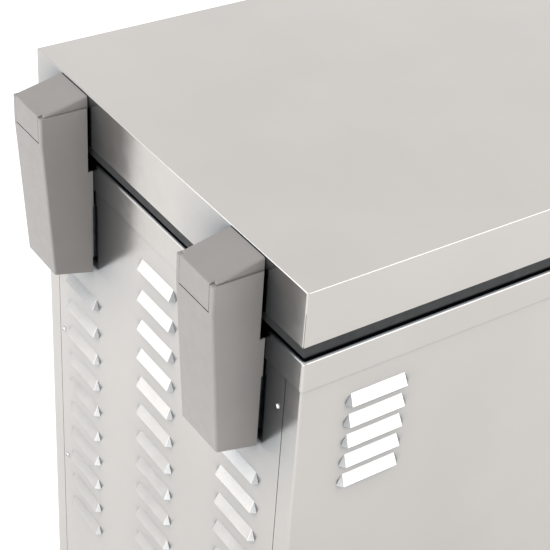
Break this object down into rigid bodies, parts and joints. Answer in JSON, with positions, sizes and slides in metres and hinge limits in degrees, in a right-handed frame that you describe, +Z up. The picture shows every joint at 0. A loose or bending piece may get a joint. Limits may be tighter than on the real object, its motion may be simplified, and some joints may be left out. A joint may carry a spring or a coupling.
{
  "type": "battery box",
  "caption": "Insulated upright battery box with a sprung, gasketed top lid, grey hinge covers and a louvred rear machine compartment.",
  "frame": {"origin": "bottom centre of the box that holds the whole object, on the floor under the feet", "axes": "+Z up; the lid opens from the front, which faces -Y; hinges and louvred panel face +Y; +X is to the right for someone facing the front from -Y"},
  "size_m": [0.532, 0.723, 0.88],
  "materials": {
    "stainless_sheet": "satin",
    "stainless_tub": "satin",
    "zinc_steel": "satin",
    "screw_steel": "polished",
    "spring_steel": "satin",
    "cover_plastic": "matte",
    "liner_plastic": "satin",
    "retainer_plastic": "matte",
    "seal_rubber": "matte",
    "foot_rubber": "matte",
    "foam": "matte",
    "black_plastic": "satin",
    "box_plastic": "satin",
    "circuit_board": "satin",
    "brass_bar": "satin",
    "copper_tube": "satin",
    "fin_aluminium": "satin",
    "black_paint": "gloss"
  },
  "bodies": {
    "body": {"base_pan": "zinc_steel", "battery_tray": "stainless_tub", "busbar_insulator_negative": "black_plastic", "busbar_insulator_positive": "black_plastic", "busbar_negative": "brass_bar", "busbar_positive": "brass_bar", "cable_glands": "black_plastic", "compartment_bulkhead": "zinc_steel", "compressor": "black_paint", "compressor_grommets": "foot_rubber", "condenser_fins": "fin_aluminium", "condenser_tube": "copper_tube", "control_box_base": "box_plastic", "control_box_cover": "box_plastic", "controller_board": "circuit_board", "fan_motor": "black_plastic", "fan_shroud": "black_plastic", "foot_bolts": "screw_steel", "front_panel": "stainless_sheet", "front_panel_screws": "screw_steel", "hinge_backing_plates": "zinc_steel", "hinge_body_bracket_left": "zinc_steel", "hinge_body_bracket_right": "zinc_steel", "hinge_body_screws": "screw_steel", "hinge_cover_left": "cover_plastic", "hinge_cover_right": "cover_plastic", "hinge_pin_left": "screw_steel", "hinge_pin_right": "screw_steel", "hinge_spring_left": "spring_steel", "hinge_spring_right": "spring_steel", "inner_liner": "stainless_tub", "rear_panel": "stainless_sheet", "rear_panel_screws": "screw_steel", "rim_frame": "stainless_sheet", "rubber_feet": "foot_rubber", "side_panel_left": "stainless_sheet", "side_panel_right": "stainless_sheet", "wall_insulation": "foam"},
    "lid": {"lid_outer_shell": "stainless_sheet", "lid_inner_liner": "liner_plastic", "lid_insulation": "foam", "lid_backing_plates": "zinc_steel", "lid_seal_retainer": "retainer_plastic", "lid_gasket": "seal_rubber", "lid_handle": "cover_plastic", "hinge_cap_left": "cover_plastic", "hinge_cap_right": "cover_plastic", "hinge_lid_bracket_left": "zinc_steel", "hinge_lid_bracket_right": "zinc_steel", "hinge_thrust_pin_left": "screw_steel", "hinge_thrust_pin_right": "screw_steel", "hinge_lid_screws": "screw_steel", "hinge_cap_screws": "screw_steel"},
    "plunger_left": {"hinge_plunger_left": "spring_steel"},
    "plunger_right": {"hinge_plunger_right": "spring_steel"},
    "fan": {"fan_rotor": "black_plastic", "fan_shaft": "screw_steel"}
  },
  "joints": [
    {"name": "lid_hinge", "type": "hinge", "parent": "body", "child": "lid", "pos_m": [0, 0.3345, 0.854], "axis": [-1, 0, 0], "range_deg": [0, 80]},
    {"name": "plunger_left_slide", "type": "slide", "parent": "body", "child": "plunger_left", "axis": [0, 0, 1], "range_m": [0, 0.0292], "deforming": ["hinge_spring_left"]},
    {"name": "plunger_right_slide", "type": "slide", "parent": "body", "child": "plunger_right", "axis": [0, 0, 1], "range_m": [0, 0.0292], "deforming": ["hinge_spring_right"]},
    {"name": "fan_spin", "type": "hinge", "parent": "body", "child": "fan", "pos_m": [-0.11, 0.208, 0.44], "axis": [0, 1, 0], "continuous": true}
  ],
  "couplings": [
    {"joint": "plunger_left_slide", "follows": "lid_hinge", "m_per_rad": 0.0208},
    {"joint": "plunger_right_slide", "follows": "lid_hinge", "m_per_rad": 0.0208}
  ]
}
